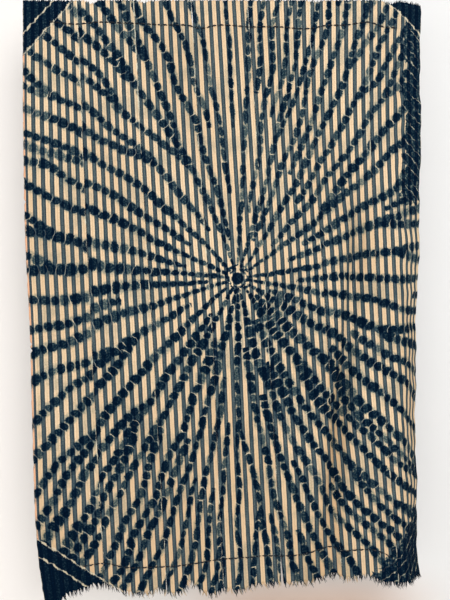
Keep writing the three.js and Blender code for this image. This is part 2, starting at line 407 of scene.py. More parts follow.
def new_ray(random, angles, start):
    """A ray with its own small faults."""
    aside = abs(math.sin(math.radians(float(np.interp(start + 0.2, RADII, angles)))))
    turned = np.radians(angles)
    steps = np.hypot(np.diff(RADII), np.diff(turned) * RADII[1:])
    return dict(
        angles=angles,
        start=start,
        run=np.concatenate([[0.0], np.cumsum(steps)]),
        slope=np.gradient(turned, RADII) * RADII,
        pitch=(BEAD_PITCH + BEAD_PITCH_UPRIGHT * (1 - aside) ** 3) * random.uniform(0.90, 1.08),
        packed=random.uniform(1.7, 3.1) + PACKED_MORE * packed_share(angles[0]),
        width=random.uniform(0.88, 1.10) * table(RAY_WIDTHS, angles[0] % 360),
        phase=random.uniform(1, 2),
        dark=random.uniform(0.72, 1.0),
        dark_length=random.uniform(0.2, 0.5),
        dark_phase=random.uniform(0, 6.28),
        aside=random.uniform(-0.22, 0.22, BEAD_COUNT),
        stretch=random.uniform(-0.20, 0.20, BEAD_COUNT),
        tilt=random.uniform(-0.12, 0.12, BEAD_COUNT),
    )


# Places where the beads crowd together: middle, radius and how much wider they are.
CROWDS = (
    dict(x=0.165, down=0.870, radius=0.120, more=0.45),
    dict(x=0.300, down=0.985, radius=0.080, more=0.45),
    dict(x=-0.045, down=0.870, radius=0.075, more=0.45),
    dict(x=0.085, down=0.820, radius=0.070, more=0.45),
    dict(x=0.148, down=0.777, radius=0.048, more=1.00),
    dict(x=-0.005, down=0.690, radius=0.036, more=0.60),
    dict(x=-0.400, down=1.340, radius=0.060, more=0.50),
    dict(x=-0.270, down=0.700, radius=0.110, more=0.28),
)

# The stretch of the right edge that is nearly all dyed: its inner side and lower end, and the line
# (x, down) that the lower right corner is dyed past
EDGE_BAND_X = 0.464
EDGE_BAND_END = 0.500
LOW_CORNER = ((0.330, 1.4925), (0.4975, 1.3200))


def crowding(x, down):
    total = np.zeros(x.shape)
    for crowd in CROWDS:
        away = np.hypot(x - crowd["x"], down - crowd["down"]) / crowd["radius"]
        total += crowd["more"] * np.exp(-(away ** 2))
    return total


def edge_band(x, down):
    """Distance inside the dyed stretch of the right edge or the dyed lower right corner."""
    stretch = np.minimum(x - EDGE_BAND_X - 0.006 * np.sin(47 * down), EDGE_BAND_END - down)
    (x0, d0), (x1, d1) = LOW_CORNER
    corner = ((x - x0) * (d0 - d1) + (down - d0) * (x1 - x0)) / math.hypot(x1 - x0, d1 - d0)
    return np.maximum(stretch, corner)


# Corners that were dipped whole: a line between two points (x, down), dyed to the side of a third
# point, and the distance from there to a second pale line, which is far off where there is none.
CORNERS = (
    ((-0.4975, 0.140), (-0.3725, 0.005), (-0.50, 0.0), 0.038),
    ((-0.4560, 1.3450), (-0.3110, 1.435), (-0.50, 1.55), 0.036),
    ((0.3980, -0.005), (0.5150, 0.080), (0.52, 0.0), 9.0),
)


def corner_fields(x, down):
    """Distance inside the nearest dipped corner, and the distance inside its second line."""
    inside, second = np.full(x.shape, -9.0), np.zeros(x.shape)
    for (x0, d0), (x1, d1), (xc, dc), gap in CORNERS:
        length = math.hypot(x1 - x0, d1 - d0)
        ux, ud = (x1 - x0) / length, (d1 - d0) / length
        side = math.copysign(1, (xc - x0) * ud - (dc - d0) * ux)
        here = side * ((x - x0) * ud - (down - d0) * ux)
        nearer = here > inside
        second = np.where(nearer, here - gap, second)
        inside = np.where(nearer, here, inside)
    return inside, second


def chain_fields(family, radius, bearing, crowd):
    """Distance from the nearest ray of one family in half widths, the place along it in beads, and
    the ray's number with its darkness as the fraction."""
    beside, bead, mark = np.full(radius.shape, 9.0), np.zeros(radius.shape), np.zeros(radius.shape)
    steps = np.arange(BEAD_COUNT)
    for number, ray in enumerate(family):
        angle = np.interp(radius, RADII, ray["angles"])
        off = (bearing - angle + 180) % 360 - 180
        slope = np.interp(radius, RADII, ray["slope"])
        lateral = radius * np.sin(np.radians(np.clip(off, -60, 60))) / np.hypot(1, slope)
        aside = np.abs(np.sin(np.radians(angle)))
        full = (HALF_WIDTH_UPRIGHT + HALF_WIDTH_MORE * aside ** 0.6) * ray["width"] * (1 + crowd)
        grown = 0.75 + 0.25 * smooth((radius - ray["start"]) / WIDENING)
        half = np.minimum((HALF_WIDTH_CENTRE + HALF_WIDTH_GROWTH * radius) * (1 + crowd), full) * grown
        run = np.interp(radius, RADII, ray["run"]) + lateral * slope
        count = run / ray["pitch"] + ray["packed"] * (1 - np.exp(-radius / PACKED_REACH)) + ray["phase"]
        ratio = lateral / half - np.interp(count, steps, ray["aside"])
        count = count + np.interp(count, steps, ray["stretch"]) - BEAD_BOW * ratio ** 2
        count = count + ratio * np.interp(count, steps, ray["tilt"])
        ratio = np.abs(ratio) + 9 * (1 - np.clip((radius - ray["start"]) / RAY_TAPER, 0, 1))
        closer = ratio < beside
        tone = ray["dark"] + 0.12 * np.sin(6.283 * radius / ray["dark_length"] + ray["dark_phase"])
        beside = np.where(closer, ratio, beside)
        bead = np.where(closer, count, bead)
        mark = np.where(closer, number + np.clip(tone + 0.4 * crowd, 0.30, 0.98), mark)
    return np.stack([np.minimum(beside, FAR), bead, mark], axis=-1)


def dye_fields(across, down):
    """What the dye's material needs at each point: the nearest ray of each family, the dipped
    corners, the dyed edge with the place it is at, and, as "Wash", the crowding, the yellowing with
    its painted shade along the deepest fold, and the distance from the centre in disc radii."""
    x, down = unfolded_x(across, down), np.broadcast_to(down, np.broadcast(across, down).shape)
    slip = np.array(STRIP_SLIP)[np.clip(np.floor(across), 0, STRIPS - 1).astype(int)]
    dx, dd = x - BURST_X, down - BURST_DOWN - slip
    radius = np.maximum(np.hypot(dx, dd), 1e-6)
    bearing = np.degrees(np.arctan2(dx, -dd)) % 360
    crowd = crowding(x, down)
    fields = {
        name: chain_fields(family, radius, bearing, crowd)
        for name, family in zip(CHAINS, RAY_FAMILIES)
    }
    fields["Corner"] = np.stack([*corner_fields(x, down), np.zeros(x.shape)], axis=-1)
    fields["Edge"] = np.stack([edge_band(x, down), np.where(down > 1, -x, x), down], axis=-1)
    fields["Wash"] = np.stack([crowd, yellowing_and_fold_shade(x, down), np.minimum(radius / CENTRE_DISC, FAR)], axis=-1)
    return fields


CHAINS = ("Chain A", "Chain B", "Chain C", "Chain D")
DYE_FIELDS = (*CHAINS, "Corner", "Edge", "Wash")
SLANT_PITCH = 0.0265  # between the pale lines that slant over the right edge
SLANT_STEP = 0.0300  # the length after which such a line may fade or come back
RAY_FAMILIES = plan_rays()


FOLD_SHADE_HALF = 0.040  # half width of the painted shade along the deepest fold


def yellowing_and_fold_shade(x, down):
    """How yellowed and shaded the cream is: darker towards the lower left, with painted shade along the
    deepest fold and soft patches.
    """
    patches = 0.18 * np.sin(9 * x + 2) * np.sin(6 * down + 1) + 0.12 * np.sin(23 * x - 11 * down)
    # Painted shade: the cream is darker along the trough of the deepest fold
    fold_shade = 0.9 * np.exp(-(((x - fold_line(FOLDS[0], down)) / FOLD_SHADE_HALF) ** 2)) * ramp(0.75, 1.05, down)
    return np.clip(0.18 + 0.55 * ramp(0.75, 1.5, down) * (0.75 - 0.6 * x) + patches + fold_shade, 0, 1)


# Meshes

def finished(name, mesh, material):
    piece = bpy.data.objects.new(name, mesh)
    bpy.context.scene.collection.objects.link(piece)
    piece.data.materials.append(material)
    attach(piece, "root")
    return piece


def vertex_places(mesh):
    places = np.empty(len(mesh.vertices) * 3, np.float32)
    mesh.vertices.foreach_get("co", places)
    return places.reshape(-1, 3)


def set_vertices(mesh, points):
    mesh.vertices.foreach_set("co", np.asarray(points, np.float32).ravel())
    mesh.update()


def add_cloth_fields(mesh, across, down, fields):
    """The place on the cloth as a UV map, and the dye as vertex attributes."""
    place = np.stack([across * STRIP_WIDTH, -down], axis=-1).reshape(-1, 2)
    loops = np.empty(len(mesh.loops), np.int32)
    mesh.loops.foreach_get("vertex_index", loops)
    uv = mesh.uv_layers.new(name="cloth")
    uv.data.foreach_set("uv", place[loops].astype(np.float32).ravel())
    for name, values in fields.items():
        attribute = mesh.attributes.new(name, "FLOAT_VECTOR", "POINT")
        attribute.data.foreach_set("vector", values.astype(np.float32).reshape(-1))


SEAM_STAND = 0.00012  # how far an edge stands back from its seam where that is whole
SELVEDGE_WAVER = 0.0006  # the left selvedge stands back by up to twice this
LAST_SHARE = 0.99999  # of a strip's width, just short of the next strip
RAGGED_STEPS = 360  # small steps along each raw end, and their height at the top and at the foot
RAGGED_TOP = 0.0008
RAGGED_FOOT = 0.0022
PUCKER_HEIGHT = 0.0005  # of the puff at each bead of dye


def seam_opening(seam, down):
    """How far a strip's edge stands back from a seam that has come open."""
    total = np.full(np.shape(down), SEAM_STAND)
    for opening in OPEN_SEAMS:
        if opening["seam"] == seam:
            total = total + opening["width"] * np.exp(-(((down - opening["down"]) / opening["half"]) ** 2))
    return total


def worn_edges(number, share, down):
    """The share across a strip with its worn selvedge or open seams drawn in."""
    left = seam_opening(number, down)
    right = seam_opening(number + 1, down)
    if number == 0:
        left = SELVEDGE_WAVER * (1 + np.sin(170 * down) * np.sin(61 * down))
        for at, half, depth in SELVEDGE_NICKS:
            left = left + depth * np.clip(1 - np.abs(down - at) / half, 0, 1)
    width = strip_width(number)
    return (left + share * (width - left - right)) / width


def across_strip(number, share, down):
    """The place across the cloth of a share across one worn strip."""
    return number + np.clip(worn_edges(number, share, down), 0, LAST_SHARE)


def ragged(across, seed, height):
    """Small steps where the last weft threads have pulled out."""
    random = np.random.default_rng(seed)
    places = np.linspace(0, STRIPS, RAGGED_STEPS)
    return np.interp(across, places, height * random.uniform(-1, 1, RAGGED_STEPS))


def top_end(across):
    return table(TOP_END, across) + ragged(across, 3, RAGGED_TOP)


def bottom_end(across):
    return table(BOTTOM_END, across) + ragged(across, 5, RAGGED_FOOT)


def strip_sheet(number, material):
    """One woven strip as a fine sheet in its hung shape, given the cloth's thickness."""
    columns, rows = round(strip_width(number) / GRID), round(CLOTH_LENGTH / GRID)
    form = bmesh.new()
    bmesh.ops.create_grid(form, x_segments=columns, y_segments=rows, size=0.5)
    mesh = bpy.data.meshes.new(f"woven_strip_{number + 1}")
    form.to_mesh(mesh)
    form.free()
    flat = vertex_places(mesh).astype(float)
    raw_share, fall = flat[:, 0] + 0.5, 0.5 - flat[:, 1]
    across = number + np.clip(raw_share, 0, LAST_SHARE)
    down = top_end(across) + fall * (bottom_end(across) - top_end(across))
    across = across_strip(number, raw_share, down)
    fields = dye_fields(across, down)
    front = directions(across, down)[2]
    set_vertices(mesh, hung(across, down) + front * pucker(fields)[:, None])
    add_cloth_fields(mesh, across, down, fields)
    form = bmesh.new()
    form.from_mesh(mesh)
    bmesh.ops.recalc_face_normals(form, faces=form.faces)
    if sum(face.normal.y for face in list(form.faces)[:200]) > 0:
        bmesh.ops.reverse_faces(form, faces=form.faces)
    form.to_mesh(mesh)
    form.free()
    mesh.shade_smooth()
    sheet = finished(f"woven_strip_{number + 1}", mesh, material)
    thickness = sheet.modifiers.new("thickness", "SOLIDIFY")
    thickness.thickness = CLOTH_THICKNESS
    thickness.offset = 0.0
    thickness.use_even_offset = False
    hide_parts(f"strip_{number + 1}")
    return sheet


def pucker(fields):
    """Each bead of dye is a small puff that the tied thread left in the cloth."""
    total = 0
    for chain in CHAINS:
        beside, bead = fields[chain][..., 0], fields[chain][..., 1]
        total = total + PUCKER_HEIGHT * np.exp(-(beside ** 2)) * (0.4 - 0.6 * np.cos(2 * math.pi * bead))
    return total


def thread_template(sides, stations):
    """A short closed thread along Z from 0 to 1, with rings of points to bend it at."""
    form = bmesh.new()
    bmesh.ops.create_cone(form, cap_ends=True, segments=sides, radius1=1.0, radius2=1.0, depth=1.0)
    long_edges = [e for e in form.edges if abs(e.verts[0].co.z - e.verts[1].co.z) > 0.5]
    bmesh.ops.subdivide_edges(form, edges=long_edges, cuts=stations - 2, use_grid_fill=True)
    bmesh.ops.translate(form, vec=Vector((0, 0, 0.5)), verts=form.verts)
    mesh = bpy.data.meshes.new("thread_template")
    form.to_mesh(mesh)
    form.free()
    return mesh


def many_threads(name, template, route, radius):
    """Copies of a template as one mesh. route(t) gives each copy's centre line, and radius(t) its
    thickness, at shares t along it."""
    shape = vertex_places(template)
    t = shape[:, 2]
    centre, side, up = route(t)
    thick = radius(t)[..., None]
    points = centre + thick * (shape[None, :, :1] * side + shape[None, :, 1:2] * up)
    form = bmesh.new()
    for _ in range(len(centre)):
        form.from_mesh(template)
    mesh = bpy.data.meshes.new(name)
    form.to_mesh(mesh)
    form.free()
    set_vertices(mesh, points.reshape(-1, 3))
    mesh.shade_smooth()
    return mesh, t


# The loose yarns at the foot and head of each strip: the raw end that they come from, whether they
# point down (1) or up (-1), their piece, the solid that it stands for, their number and their length
FOOT = dict(end=bottom_end, way=1, name="frayed_foot", node="bottom_fray", yarns=180, length=0.019)
HEAD = dict(end=top_end, way=-1, name="frayed_head", node="top_fray", yarns=130, length=0.009)
YARNS_PER_TUFT = 5
ROOT_DEPTH = 0.0015  # how far inside the raw end a loose yarn starts
YARN_THINNEST, YARN_THICKEST = 0.00055, 0.00095  # radius at the root


def frayed_yarns(number, fray, material):
    """The loose warp yarns past the last woven row of one strip, in pointed tufts."""
    end, way, yarns = fray["end"], fray["way"], fray["yarns"]
    random = np.random.default_rng(900 + 10 * number + (way > 0))
    share = (np.arange(yarns) + random.uniform(0.2, 0.8, yarns)) / yarns
    root_across = across_strip(number, share, np.full(yarns, float(end(number + 0.5))))
    root_down = end(root_across) - way * ROOT_DEPTH
    right, lower, front = directions(root_across, root_down)
    root = hung(root_across, root_down)
    tuft = np.round(share * yarns / YARNS_PER_TUFT + 0.9 * random.uniform(-0.5, 0.5, yarns))
    lean_of = np.random.default_rng(77 + number).uniform(-0.45, 0.45, 400)
    tuft_middle = (tuft + 0.5) * YARNS_PER_TUFT / yarns
    width = strip_width(number)
    tuft_length = 0.75 + 0.5 * np.abs(np.sin(2.3 * tuft))
    long = fray["length"] * (0.45 + 0.55 * random.random(yarns)) * tuft_length
    gather = (tuft_middle - share) * width * 0.75 / long
    lean = lean_of[tuft.astype(int) + 20] + gather + random.uniform(-0.16, 0.16, yarns)
    edge_room = np.minimum(share, 1 - share) * width + 0.003
    lean = np.clip(lean * long, -edge_room, edge_room) / long
    puff = random.uniform(-0.18, 0.22, yarns)
    bend = random.uniform(-0.25, 0.25, yarns)

    def route(t):
        t = t[None, :, None]
        reach = long[:, None, None] * t
        centre = root[:, None] + reach * (way * lower[:, None] * (1 - 0.12 * t))
        centre = centre + reach * (lean[:, None, None] + bend[:, None, None] * (t - 0.5)) * right[:, None]
        centre = centre + reach * t * puff[:, None, None] * front[:, None]
        return centre, right[:, None], front[:, None]

    thick = random.uniform(YARN_THINNEST, YARN_THICKEST, yarns)[:, None]
    name = f"{fray['name']}_{number + 1}"
    template = thread_template(4, 5)
    mesh, t = many_threads(name, template, route, lambda t: thick * (1 - 0.82 * t[None] ** 1.6))
    across = np.repeat(root_across, len(t))
    down = np.repeat(root_down, len(t)) + way * np.tile(t, yarns) * np.repeat(long, len(t))
    add_cloth_fields(mesh, across, down, dye_fields(across, down))
    piece = finished(name, mesh, material)
    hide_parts(f"{fray['node']}_{number + 1}")
    return piece


# Running stitches across the cloth near each end: (x, down) of points on the line.
TOP_STITCHES = (
    (-0.430, 0.052), (-0.365, 0.058), (-0.303, 0.054), (-0.228, 0.056), (-0.150, 0.060), (-0.078, 0.063),
    (-0.052, 0.069), (-0.015, 0.062), (0.073, 0.065), (0.150, 0.066), (0.228, 0.069), (0.265, 0.062),
    (0.318, 0.060), (0.345, 0.056), (0.370, 0.054), (0.405, 0.065), (0.450, 0.067),
)
BOTTOM_STITCHES = (
    (-0.345, 1.412), (-0.290, 1.406), (-0.240, 1.415), (-0.178, 1.415), (-0.103, 1.411), (-0.015, 1.398),
    (0.073, 1.390), (0.110, 1.386), (0.150, 1.387), (0.198, 1.383), (0.228, 1.375), (0.248, 1.369),
    (0.278, 1.365), (0.305, 1.374), (0.343, 1.371), (0.383, 1.372), (0.405, 1.380), (0.430, 1.392),
)
STITCH_LENGTH = 0.0125
STITCH_GAP = 0.0024
THREAD_RADIUS = 0.00190
STITCH_RISE = 2.2  # how far a stitch arches over the cloth, and how deep its ends sit, in thread radii
STITCH_SINK = 0.9


def across_at(x, down):
    """The place across the cloth, in strips, of a point on its flat part."""
    edges = [edge_x(number, down) for number in range(STRIPS)]
    edges = np.array(edges + [edges[-1] + LAST_STRIP_WIDTH])
    return np.array([np.interp(here, edges[:, i], np.arange(STRIPS + 1)) for i, here in enumerate(x)])


def stitch_radius(radius, less):
    """The thickness along a stitch, with a share less at both ends."""
    return lambda t: radius * (1 - less * np.abs(2 * t[None] - 1))


def running_stitches(name, line, seed, material):
    """One row of long stitches, with the thread's passes on the back of the cloth."""
    random = np.random.default_rng(seed)
    xs = np.array([p[0] for p in line])
    at, stitches = xs[0], []
    while at < xs[-1] - STITCH_LENGTH:
        length = STITCH_LENGTH * random.uniform(0.75, 1.25)
        stitches.append((at, at + length, 1.0))
        gap = STITCH_GAP * random.uniform(0.7, 1.5)
        stitches.append((at + length, at + length + gap, -1.0))
        at += length + gap
    start, stop, side = (np.array(column) for column in zip(*stitches))

    def route(t):
        x = start[:, None] + (stop - start)[:, None] * t[None]
        down = through(xs, [p[1] for p in line], x)
        across = across_at(x.ravel(), down.ravel()).reshape(x.shape)
        arch = THREAD_RADIUS * (STITCH_RISE * np.sin(math.pi * t[None]) - STITCH_SINK)
        lift = side[:, None] * (CLOTH_THICKNESS / 2 + arch)
        _, lower, front = directions(across, down)
        return hung(across, down) + lift[..., None] * front, lower, front

    mesh, _ = many_threads(name, thread_template(5, 6), route, stitch_radius(THREAD_RADIUS, 0.3))
    return finished(name, mesh, material)


SEAM_STITCH_PITCH = 0.0075
SEAM_THREAD_RADIUS = 0.00036
SEAM_BROKEN = 0.0009  # no stitch is left where an edge stands back from its seam by this much
SEAM_TOP_ROOM = 0.004  # the sewing stops this far inside each raw end
SEAM_FOOT_ROOM = 0.006


def seam_stitches(seam, material):
    """The overcast sewing that joins two strips, one slanted stitch after another."""
    random = np.random.default_rng(400 + seam)
    top, bottom = float(top_end(seam)) + SEAM_TOP_ROOM, float(bottom_end(seam)) - SEAM_FOOT_ROOM
    middle = np.arange(top, bottom, SEAM_STITCH_PITCH)
    middle = middle + random.uniform(-0.0012, 0.0012, len(middle))
    middle = middle[seam_opening(seam, middle) < SEAM_BROKEN]
    reach = random.uniform(0.0013, 0.0021, len(middle)) / STRIP_WIDTH
    slant = random.uniform(0.0012, 0.0030, len(middle))
    side = np.where(np.arange(len(middle)) % 9 == 8, 0.5, 1.0)

    def route(t):
        swing = 2 * t[None] - 1
        across = seam + reach[:, None] * swing
        down = middle[:, None] + slant[:, None] * swing
        _, lower, front = directions(across, down)
        arch = SEAM_THREAD_RADIUS * (1.5 * np.cos(swing * 1.5) - 0.7) * side[:, None]
        return hung(across, down) + (CLOTH_THICKNESS / 2 + arch)[..., None] * front, lower, front

    name = f"seam_stitches_{seam}"
    mesh, t = many_threads(name, thread_template(5, 5), route, stitch_radius(SEAM_THREAD_RADIUS, 0.35))
    down = np.repeat(middle, len(t))
    across = np.full(len(down), seam - 0.001)
    add_cloth_fields(mesh, across, down, dye_fields(across, down))
    return finished(name, mesh, material)


# Materials

def srgb(red, green, blue):
    """A photographed colour as a linear one."""
    channels = [c / 255 for c in (red, green, blue)]
    return tuple(c / 12.92 if c <= 0.04045 else ((c + 0.055) / 1.055) ** 2.4 for c in channels) + (1.0,)


CREAM = srgb(235, 210, 176)
CREAM_DEEP = srgb(198, 166, 128)
# Also the colour of the painted shade along the deepest fold
YELLOWED_SHADED_CREAM = srgb(202, 169, 131)
WOVEN_BLUE = srgb(82, 96, 99)
WOVEN_BLUE_DARK = srgb(36, 50, 60)
WOVEN_BLUE_PALE = srgb(120, 124, 120)
SELVEDGE_TAN = srgb(225, 172, 138)
SELVEDGE_WIDTH = 0.0048
DYE_PASSES = (0.0005, 0.0037, 0.0135)  # share of red, green and blue light left by full dye
DYE_NAVY = srgb(1, 14, 31)
RESIST_PALE = srgb(226, 223, 202)
DARK_THREAD = srgb(17, 23, 33)
RUBBED_THREAD = srgb(120, 124, 122)
RIBS_PER_PAIR = 6
WARP_PITCH = 0.00115
WEFT_PITCH = 0.00130
TWIST_PITCH = 0.0011
CLOTH_RELIEF = 0.00045  # height of the weave on the strips, and on single yarns and sewing thread
YARN_RELIEF = 0.0002

NUMBER, VECTOR, COLOUR = "NodeSocketFloat", "NodeSocketVector", "NodeSocketColor"


class Signal:
    """A node's output. Each sum with it places one math node."""

    def __init__(self, weave, socket):
        self.weave, self.socket = weave, socket

    def __add__(self, other):
        return self.weave.math("ADD", self, other)

    def __sub__(self, other):
        return self.weave.math("SUBTRACT", self, other)

    def __rsub__(self, other):
        return self.weave.math("SUBTRACT", other, self)

    def __mul__(self, other):
        return self.weave.math("MULTIPLY", self, other)

    def __truediv__(self, other):
        return self.weave.math("DIVIDE", self, other)

    def __pow__(self, power):
        return self.weave.math("POWER", self, power)

    def __abs__(self):
        return self.weave.math("ABSOLUTE", self)


class Weave:
    """A node tree with short calls for the nodes that the cloth's materials use."""

    def __init__(self, tree):
        self.tree = tree

    def node(self, kind, **settings):
        made = self.tree.nodes.new(kind)
        for key, value in settings.items():
            setattr(made, key, value)
        return made

    def source(self, kind, output, **settings):
        return Signal(self, self.node(kind, **settings).outputs[output])

    def join(self, value, socket):
        if isinstance(value, Signal):
            self.tree.links.new(value.socket, socket)
        else:
            socket.default_value = value

    def outputs(self, made):
        return {socket.name: Signal(self, socket) for socket in made.outputs}

    def math(self, operation, *values, clamp=False):
        made = self.node("ShaderNodeMath", operation=operation, use_clamp=clamp)
        for value, socket in zip(values, made.inputs):
            self.join(value, socket)
        return Signal(self, made.outputs[0])

    def most(self, first, *others):
        for other in others:
            first = self.math("MAXIMUM", first, other)
        return first

    def ramp(self, value, low, high, to_low=0.0, to_high=1.0):
        made = self.node("ShaderNodeMapRange", interpolation_type="SMOOTHSTEP")
        for item, socket in zip((value, low, high, to_low, to_high), made.inputs):
            self.join(item, socket)
        return Signal(self, made.outputs[0])

    def noise(self, place, scale, detail=2.0, roughness=0.5):
        made = self.node("ShaderNodeTexNoise", noise_dimensions="2D")
        self.join(place, made.inputs["Vector"])
        for label, value in (("Scale", scale), ("Detail", detail), ("Roughness", roughness)):
            made.inputs[label].default_value = value
        return Signal(self, made.outputs["Fac"])

    def mix(self, share, a, b, blend="MIX"):
        made = self.node("ShaderNodeMix", data_type="RGBA", blend_type=blend)
        for value, socket in ((share, made.inputs[0]), (a, made.inputs[6]), (b, made.inputs[7])):
            self.join(value, socket)
        return Signal(self, made.outputs[2])

    def split(self, vector):
        made = self.node("ShaderNodeSeparateXYZ")
        self.join(vector, made.inputs[0])
        return [Signal(self, socket) for socket in made.outputs]

    def combine(self, x, y):
        made = self.node("ShaderNodeCombineXYZ")
        for value, socket in zip((x, y), made.inputs):
            self.join(value, socket)
        return Signal(self, made.outputs[0])

    def chance(self, a, b):
        """Three random numbers for each pair of whole numbers."""
        made = self.node("ShaderNodeTexWhiteNoise", noise_dimensions="2D")
        self.join(self.combine(a + 0.5, b + 0.5), made.inputs["Vector"])
        return self.split(Signal(self, made.outputs["Color"]))

    def wave(self, value, length):
        """A cosine from 0 to 1 that repeats every so many metres."""
        return self.math("COSINE", value * (2 * math.pi / length)) * 0.5 + 0.5

    def bump(self, shader, height, strength, distance):
        made = self.node("ShaderNodeBump")
        made.inputs["Strength"].default_value = strength
        made.inputs["Distance"].default_value = distance
        self.join(height, made.inputs["Height"])
        self.join(Signal(self, made.outputs["Normal"]), shader.inputs["Normal"])


def shader_group(name, inputs, outputs):
    group = bpy.data.node_groups.new(name, "ShaderNodeTree")
    for label, kind in inputs.items():
        group.interface.new_socket(label, in_out="INPUT", socket_type=kind)
    for label, kind in outputs.items():
        group.interface.new_socket(label, in_out="OUTPUT", socket_type=kind)
    weave = Weave(group)
    given = weave.outputs(weave.node("NodeGroupInput"))
    return weave, given, weave.node("NodeGroupOutput").inputs, group


def placed_group(weave, group, values):
    """A group's outputs in a material or another group, after its inputs are joined by name."""
    made = weave.node("ShaderNodeGroup", node_tree=group)
    for label, value in values.items():
        weave.join(value, made.inputs[label])
    return weave.outputs(made)


def warp_stripes_group():
    """Blue-grey and cream warp stripes with their ribs, from the place on the cloth."""
    weave, given, out, group = shader_group(
        "warp stripes", {"Place": VECTOR, "Age": NUMBER}, {"Colour": COLOUR, "Ribs": NUMBER, "Blue": NUMBER},
    )
    across, down, _ = weave.split(given["Place"])
    waver = weave.noise(weave.combine(0.0, down), 38.0)
    streaks = weave.noise(weave.combine(across * 70.0, down * 1.4), 9.0, 3.0)
    fleck = weave.noise(given["Place"], 290.0, 2.0)
    x = (waver - 0.5) * 0.0011 + across
    pair = weave.math("FRACT", x * (PAIRS_PER_STRIP / STRIP_WIDTH))
    blue = weave.ramp(pair, 0.0, 0.03) * weave.ramp(pair, 0.50, 0.55, 1.0, 0.0)
    rib = weave.wave(x, STRIP_WIDTH / PAIRS_PER_STRIP / RIBS_PER_PAIR)
    middle_tan = weave.ramp(abs(pair - 0.77), 0.02, 0.11, 1.0, 0.0)
    middle_pale = weave.ramp(abs(pair - 0.26), 0.05, 0.15, 1.0, 0.0)
    # Tan middles of the cream stripes, and painted shade: the cream darker in the hollows between ribs
    cream = weave.mix(middle_tan * 0.48 + rib * 0.14, CREAM, CREAM_DEEP)
    # Yellowing with painted shade: darker cream along the deepest fold and towards the lower left
    cream = weave.mix(given["Age"], cream, YELLOWED_SHADED_CREAM)
    cream = weave.mix(weave.ramp(streaks, 0.35, 0.75, 0.0, 0.35), cream, CREAM_DEEP)
    cream = weave.mix(weave.ramp(fleck, 0.48, 0.30, 0.0, 0.50), cream, CREAM_DEEP)
    woven = weave.mix((1 - middle_pale) * 0.55, WOVEN_BLUE, WOVEN_BLUE_DARK)
    woven = weave.mix(weave.ramp(fleck, 0.55, 0.75, 0.0, 0.40), woven, WOVEN_BLUE_PALE)
    woven = weave.mix(weave.ramp(fleck, 0.45, 0.28, 0.0, 0.55), woven, WOVEN_BLUE_DARK)
    woven = weave.mix(weave.ramp(streaks, 0.42, 0.62, 0.0, 0.60), woven, WOVEN_BLUE_DARK)
    selvedge = weave.math("LESS_THAN", across, SELVEDGE_WIDTH)
    weave.join(weave.mix(selvedge, weave.mix(blue, cream, woven), SELVEDGE_TAN), out["Colour"])
    weave.join(rib, out["Ribs"])
    weave.join(blue, out["Blue"])
    return group


def bead_chain_group():
    """One family of rays: beads of dye in a row, their necks, and the pale lines between some."""
    weave, given, out, group = shader_group(
        "bead chain", {"Chain": VECTOR, "Broad": NUMBER, "Fine": NUMBER, "Crowd": NUMBER},
        {"Amount": NUMBER, "Kept": NUMBER},
    )
    broad, fine = given["Broad"], given["Fine"]
    beside, place, mark = weave.split(given["Chain"])
    number, dark = weave.math("FLOOR", mark), weave.math("FRACT", mark)
    near = weave.ramp(beside, 1.45, 1.75, 1.0, 0.0)

    # Each bead is a rounded cell of its own width, length and strength
    along = fine * 0.07 + (broad * 0.24 + place)
    cell = weave.math("FLOOR", along)
    strength, size, _ = weave.chance(cell, number)
    sideways = beside / (size * 0.36 + 0.80)
    within = abs((along - cell) * 2.0 - 1.0) / (size * 0.22 + 0.80)
    rim = sideways ** 2.2 + within ** 2.2 + (fine * 1.5 + broad * 0.5)
    bead = weave.ramp(rim, 0.60, 1.65, 1.0, 0.0) ** 1.8
    strength = weave.ramp(strength, 0.0, 0.45, 0.42, 1.0)
    bead = bead * weave.math("MULTIPLY_ADD", fine, 0.4, strength, clamp=True)
    neck = weave.ramp(beside, 0.10, 0.75, 0.32, 0.0)
    veil = weave.ramp(broad * 1.2 + beside, 0.60, 1.55, 0.14, 0.0)
    weave.join(weave.most(bead, neck, veil) * dark * near, out["Amount"])

    # Where the thread was drawn tight between two beads, it kept a bent line pale
    border = weave.math("ROUND", along)
    drawn, turn, length = weave.chance(border, number + 70.0)
    line = weave.ramp(abs(beside * ((turn - 0.5) * 0.30) + along - border), 0.012, 0.042, 1.0, 0.0)
    line = line * weave.ramp(beside - length * 0.5, 0.55, 0.85, 1.0, 0.0)
    drawn = weave.ramp(given["Crowd"] * 0.55 + drawn, 0.58, 0.88)
    weave.join(line * drawn * near, out["Kept"])
    return group


